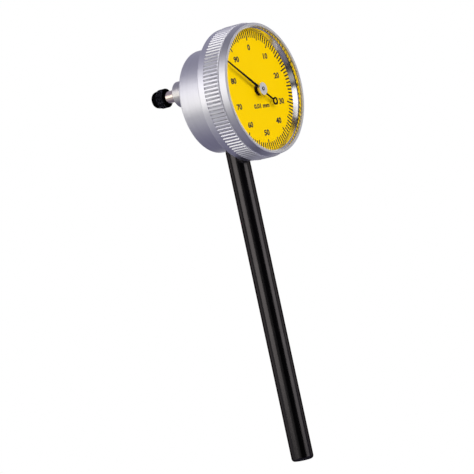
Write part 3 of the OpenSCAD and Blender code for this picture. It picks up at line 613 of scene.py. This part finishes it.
class INDICATOR_OT_dial_marks(bpy.types.Operator):
    """Print the hundred division marks on the dial"""

    bl_idname = "indicator.dial_marks"
    bl_label = "Division marks"

    def execute(self, context):
        sizes = context.scene.indicator_print
        rows = [
            mark_row(sizes, sizes.short, 1, [(3, 1), (19, 5)]),
            mark_row(sizes, sizes.medium, 5, [(9, 10)]),
            mark_row(sizes, sizes.long, 0, [(9, 10)]),
        ]
        settle(join(rows), "dial_marks", "bezel", "Printing ink")
        return {"FINISHED"}


class INDICATOR_OT_dial_numbers(bpy.types.Operator):
    """Print the numbers and the unit note on the dial"""

    bl_idname = "indicator.dial_numbers"
    bl_label = "Numbers"

    def execute(self, context):
        sizes = context.scene.indicator_print
        lines = []
        for value in range(0, DIVISIONS, NUMBER_STEP):
            radius, lean = NUMBER_PLACES[min(value, DIVISIONS - value)]
            division = value + lean if value < DIVISIONS / 2 else value - lean
            spot = dial_point(radius * MM, division)
            lines.append(lettering(str(value), sizes.digit, NUMBER_STRETCH, spot, sizes.ink))
        settle(join(lines), "dial_numbers", "bezel", "Printing ink")
        note = lettering(NOTE, sizes.note, NOTE_STRETCH, NOTE_PLACE, sizes.ink)
        settle(note, "dial_note", "bezel", "Printing ink")
        return {"FINISHED"}


class INDICATOR_OT_hub_pin(bpy.types.Operator):
    """Set the slotted end of the arbor in the middle of the pointer's boss"""

    bl_idname = "indicator.hub_pin"
    bl_label = "Hub pin"

    def execute(self, context):
        deselect()
        bpy.ops.mesh.primitive_cylinder_add(
            vertices=32, radius=PIN_RADIUS, depth=PIN_RISE,
            location=(0.0, HUB_FACE - PIN_RISE / 2, DIAL_CENTRE.z), rotation=(math.pi / 2, 0.0, 0.0))
        pin = bpy.context.object
        apply_place()
        bpy.ops.object.modifier_add(type="BEVEL")
        edge = pin.modifiers[-1]
        edge.width = PIN_BEVEL
        edge.segments = 2
        bpy.ops.object.modifier_apply(modifier=edge.name)
        cutter = self.slot_cutter()
        activate(pin)
        bpy.ops.object.modifier_add(type="BOOLEAN")
        cut = pin.modifiers[-1]
        cut.object = cutter
        cut.operation = "DIFFERENCE"
        bpy.ops.object.modifier_apply(modifier=cut.name)
        bpy.data.objects.remove(cutter)
        settle(pin, "hub_pin", "pointer_arbor", "Riveted pin")
        return {"FINISHED"}

    def slot_cutter(self):
        """Bar that cuts the screwdriver slot across the pin's front."""
        deselect()
        bpy.ops.mesh.primitive_cube_add(
            size=1.0, location=(0.0, HUB_FACE - PIN_RISE, DIAL_CENTRE.z), rotation=(0.0, SLOT_TURN, 0.0),
            scale=(4 * PIN_RADIUS, 2 * SLOT_DEPTH, SLOT_WIDTH))
        cutter = bpy.context.object
        apply_place()
        return cutter


class INDICATOR_OT_return_spring(bpy.types.Operator):
    """Wind the return spring round the plunger, in place of its faceted solid"""

    bl_idname = "indicator.return_spring"
    bl_label = "Return spring"

    def execute(self, context):
        low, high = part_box("return_spring")
        length = high.y - low.y
        mean_radius = (high.x - low.x) / 2 - WIRE_RADIUS
        deselect()
        bpy.ops.mesh.primitive_circle_add(
            vertices=WIRE_SIDES, radius=WIRE_RADIUS, fill_type="NOTHING",
            location=(mean_radius, low.y + WIRE_RADIUS, PLUNGER_HEIGHT))
        spring = bpy.context.object
        context.scene.cursor.location = (0.0, 0.0, PLUNGER_HEIGHT)
        bpy.ops.object.origin_set(type="ORIGIN_CURSOR")
        bpy.ops.object.modifier_add(type="SCREW")
        helix = spring.modifiers[-1]
        helix.axis = "Y"
        helix.angle = math.tau * SPRING_TURNS
        helix.screw_offset = length - 2 * WIRE_RADIUS
        helix.steps = helix.render_steps = int(STEPS_A_TURN * SPRING_TURNS)
        helix.use_merge_vertices = False
        bpy.ops.object.modifier_apply(modifier=helix.name)
        bpy.ops.object.mode_set(mode="EDIT")
        bpy.ops.mesh.select_all(action="DESELECT")
        bpy.ops.mesh.select_non_manifold()
        bpy.ops.mesh.fill_holes(sides=0)
        face_outwards()
        bpy.ops.object.shade_smooth_by_angle(angle=math.radians(40))
        settle(spring, "return_spring_wire", "case", "Spring wire")
        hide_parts("return_spring")
        travel = next(j for j in frame["joints"] if j["name"] == "plunger_slide")["range_m"][1]
        (length - travel) / length
        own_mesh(spring)
        return {"FINISHED"}


class INDICATOR_OT_finishes(bpy.types.Operator):
    """Give every solid its finish"""

    bl_idname = "indicator.finishes"
    bl_label = "Finishes"

    def execute(self, context):
        dress = self.outside(context.scene.indicator_finishes)
        for material, nodes in self.inside(context.scene.indicator_finishes):
            for node in nodes.split():
                dress[node] = material
        bare = sorted(set(frame["nodes"]) - set(dress))
        if bare:
            raise RuntimeError(f"no finish for {bare}")
        for node, material in dress.items():
            mesh = frame["nodes"][node].data
            mesh.materials.clear()
            mesh.materials.append(material)
        riveted_pin()
        printing_ink()
        return {"FINISHED"}

    def outside(self, colours):
        """Finishes of the pieces that show."""
        dial_height = DIAL_CENTRE.z
        return {
            "case": turned_metal("Case aluminium", colours.aluminium, dial_height, rough=0.42),
            "bezel": bezel_metal(colours.aluminium),
            "rod": blackened_rod(colours.rod),
            "stem": turned_metal("Ground stem", colours.stem, PLUNGER_HEIGHT, rough=0.3),
            "plunger": turned_metal(
                "Ground plunger", colours.plunger, PLUNGER_HEIGHT, rough=0.13, marks=9.0),
            "contact_tip": blackened_tip(colours.tip),
            "dial_plate": enamel("Dial enamel", colours.dial, peel_depth=0.003, rough=0.5, gloss=0.03),
            "dial_ring": turned_metal(
                "Polished ring", colours.ring, dial_height, rough=0.14, marks=9.0, depth=0.001),
            "crystal": clear_window(),
            "pointer": enamel("Black hand", colours.hand, peel_depth=0.002, rough=0.5, gloss=0.06),
            "pointer_hub": turned_metal("Bright hub", colours.hub, dial_height, rough=0.42),
        }

    def inside(self, colours):
        """Finishes of the movement, each with the nodes that take it."""
        return (
            (machined("Movement brass", colours.brass, rough=0.3),
             "movement_plate movement_pillars centre_bridge left_bracket right_bracket "
             "crown_wheel takeup_wheel"),
            (turned_metal("Bearing bronze", (0.62, 0.4, 0.22), PLUNGER_HEIGHT, rough=0.4),
             "front_bush rear_bush arbor_bushes"),
            # A near-black bush, seen through the hole in the dial's middle
            (machined("Oiled bronze", (0.05, 0.03, 0.018), rough=0.4), "centre_bush"),
            (machined("Arbor steel", (0.65, 0.65, 0.67), rough=0.22),
             "guide_pin rack_pinion centre_arbor takeup_arbor"),
            (machined("Screw steel", (0.32, 0.32, 0.34), rough=0.35),
             "plate_screws bridge_screws bracket_screws hairspring_stud plunger_clip"),
            (machined("Spring wire", (0.55, 0.55, 0.58), rough=0.3), "return_spring bezel_wire"),
            (machined("Blued spring", (0.08, 0.13, 0.3), rough=0.28), "hairspring"),
        )


def softbox(name, place, target, size, power, colour):
    """Large flat lamp that looks at a point."""
    lamp = bpy.data.lights.new(name, "AREA")
    lamp.shape = "RECTANGLE"
    lamp.size, lamp.size_y = size
    lamp.energy = power
    lamp.color = colour
    holder = bpy.data.objects.new(name, lamp)
    bpy.context.scene.collection.objects.link(holder)
    holder.location = place
    holder.rotation_euler = (Vector(target) - Vector(place)).to_track_quat("-Z", "Y").to_euler()
    return holder


class INDICATOR_OT_stage(bpy.types.Operator):
    """Set up the camera, the lamps, the floor and the background"""

    bl_idname = "indicator.stage"
    bl_label = "Studio"

    def execute(self, context):
        studio = context.scene.indicator_studio
        context.scene.view_settings.view_transform = "Standard"
        self.camera(context, studio)
        self.lamps()
        self.background(context, studio)
        self.floor(studio)
        return {"FINISHED"}

    def camera(self, context, studio):
        """Camera that looks along the backdrop's direction, rolled as the picture is."""
        lens = bpy.data.cameras.new("Camera")
        lens.sensor_width = SENSOR_WIDTH
        lens.lens = SENSOR_WIDTH * studio.pixels_per_mm * studio.distance / MM / PICTURE_PIXELS
        lens.clip_start, lens.clip_end = 0.01, 50.0
        holder = bpy.data.objects.new("Camera", lens)
        context.scene.collection.objects.link(holder)
        aim = (
            Matrix.Rotation(math.radians(CAMERA_TURN), 4, "Z")
            @ Matrix.Rotation(math.radians(90 - CAMERA_ELEVATION), 4, "X")
            @ Matrix.Rotation(math.radians(CAMERA_ROLL), 4, "Z"))
        place = DIAL_CENTRE + aim @ Vector((*PICTURE_MIDDLE, studio.distance))
        holder.matrix_world = Matrix.Translation(place) @ aim
        context.scene.camera = holder

    def lamps(self):
        """Softboxes that show in the metal, and a fill that doesn't."""
        softbox(
            "Left softbox", place=(-0.88, 0.28, 0.53), target=(0.0, 0.0, 0.53),
            size=(0.76, 1.12), power=4.9, colour=(1.0, 0.985, 0.955))
        softbox(
            "Front softbox", place=(0.19, -1.08, 0.4), target=(0.0, 0.0, 0.4),
            size=(0.7, 1.0), power=3.9, colour=(1.0, 0.99, 1.0))
        softbox(
            "Left strip", place=(-0.9, -0.16, 0.85), target=(0.0, 0.0, 0.5),
            size=(0.2, 1.2), power=0.9, colour=(1.0, 0.99, 0.98))
        fill = softbox(
            "Front fill", place=(-0.5, -1.3, 0.5), target=DIAL_CENTRE,
            size=(1.7, 1.7), power=19.3, colour=WHITE)
        fill.visible_glossy = False

    def background(self, context, studio):
        """Dim room under a lit ceiling, with a white backdrop; the camera and clear pieces see white."""
        world = bpy.data.worlds.new("Studio")
        context.scene.world = world
        w = NodeTree(world)
        eye, through = w.node("ShaderNodeLightPath", output=("Is Camera Ray", "Is Transmission Ray"))
        x, y, z = w.split(w.node("ShaderNodeTexCoord", output="Generated"))
        ahead = x * BACKDROP_X + y * BACKDROP_Y
        backdrop = w.smooth(ahead, -0.2, 0.6) * (1 - w.smooth(z, 0.0, 0.5))
        # A dark flag hangs over the side away from the backdrop
        flag = (1 - w.smooth(ahead, -0.45, -0.25)) * w.smooth(z, 0.45, 0.7)
        ceiling = w.smooth(z, 0.1, 0.5) * (1 - w.smooth(z, 0.84, 0.96)) * (1 - flag)
        room = w.mix(ceiling, shade(ROOM_TINT, studio.dim), shade(ROOM_TINT, studio.ceiling))
        colour = w.mix(eye.max(through).max(backdrop), room, WHITE)
        light = w.node("ShaderNodeBackground", None, {"Color": colour, "Strength": 1.0})
        w.node("ShaderNodeOutputWorld", None, {"Surface": light})

    def floor(self, studio):
        """Pale floor that fades to white; in the metal it is white behind and dark in front."""
        deselect()
        bpy.ops.mesh.primitive_plane_add(size=FLOOR_SIZE, location=(0.0, 0.0, -studio.floor_drop))
        floor = bpy.context.object
        floor.name = "Floor"
        f = Finish("Pale floor")
        eye, mirrored, through = f.node(
            "ShaderNodeLightPath", output=("Is Camera Ray", "Is Glossy Ray", "Is Transmission Ray"))

        # Parts of the floor, with edges in millimetres from the rod
        x, y, _ = f.axes_mm()
        ahead = x * BACKDROP_X + y * BACKDROP_Y
        leftward = y * BACKDROP_X - x * BACKDROP_Y
        far = f.smooth((x * x + y * y) ** 0.5, 250.0, 900.0)
        behind = f.smooth(ahead, 350.0, 1000.0)
        in_front = 1 - f.smooth(ahead, -500.0, -100.0)
        left_card = f.smooth(leftward, 180.0, 500.0)

        pale = f.mix(f.cloud(0.02), shade(ROOM_TINT, 0.27), shade(ROOM_TINT, 0.31))
        matt = f.node(
            "ShaderNodeBsdfPrincipled", None,
            {"Base Color": f.mix(mirrored * in_front, pale, (0.02, 0.02, 0.02)),
             "Roughness": 1.0, "Specular IOR Level": 0.0})
        white = f.node("ShaderNodeEmission", None, {"Color": rgba(WHITE), "Strength": 1.0})
        share = (eye * far.max(0.65)).max(mirrored.max(through) * behind).max(mirrored * left_card * 0.4)
        blend = f.node("ShaderNodeMixShader", None, {0: share, 1: matt, 2: white})
        f.node("ShaderNodeOutputMaterial", None, {"Surface": blend})
        floor.data.materials.append(f.owner)


class INDICATOR_PT_panel(bpy.types.Panel):
    """Sidebar list of the building steps"""

    bl_label = "Dial indicator"
    bl_idname = "INDICATOR_PT_panel"
    bl_space_type = "VIEW_3D"
    bl_region_type = "UI"
    bl_category = "Indicator"

    def draw(self, context):
        for step in STEPS:
            self.layout.operator(step.bl_idname)
        for group in GROUPS:
            settings = getattr(context.scene, group)
            for key in settings.__annotations__:
                self.layout.prop(settings, key)


STEPS = (
    INDICATOR_OT_finishes,
    INDICATOR_OT_dial_marks,
    INDICATOR_OT_dial_numbers,
    INDICATOR_OT_hub_pin,
    INDICATOR_OT_return_spring,
    INDICATOR_OT_stage,
)
GROUPS = {
    "indicator_print": DialPrint,
    "indicator_finishes": Finishes,
    "indicator_studio": Studio,
}
CLASSES = (*GROUPS.values(), *STEPS, INDICATOR_PT_panel)


def register():
    for item in CLASSES:
        bpy.utils.register_class(item)
    for key, group in GROUPS.items():
        setattr(bpy.types.Scene, key, bpy.props.PointerProperty(type=group))


def unregister():
    for key in GROUPS:
        delattr(bpy.types.Scene, key)
    for item in reversed(CLASSES):
        bpy.utils.unregister_class(item)


def main():
    register()
    bpy.ops.indicator.finishes()
    bpy.ops.indicator.dial_marks()
    bpy.ops.indicator.dial_numbers()
    bpy.ops.indicator.hub_pin()
    bpy.ops.indicator.return_spring()
    bpy.ops.indicator.stage()


if __name__ == "__main__":
    main()
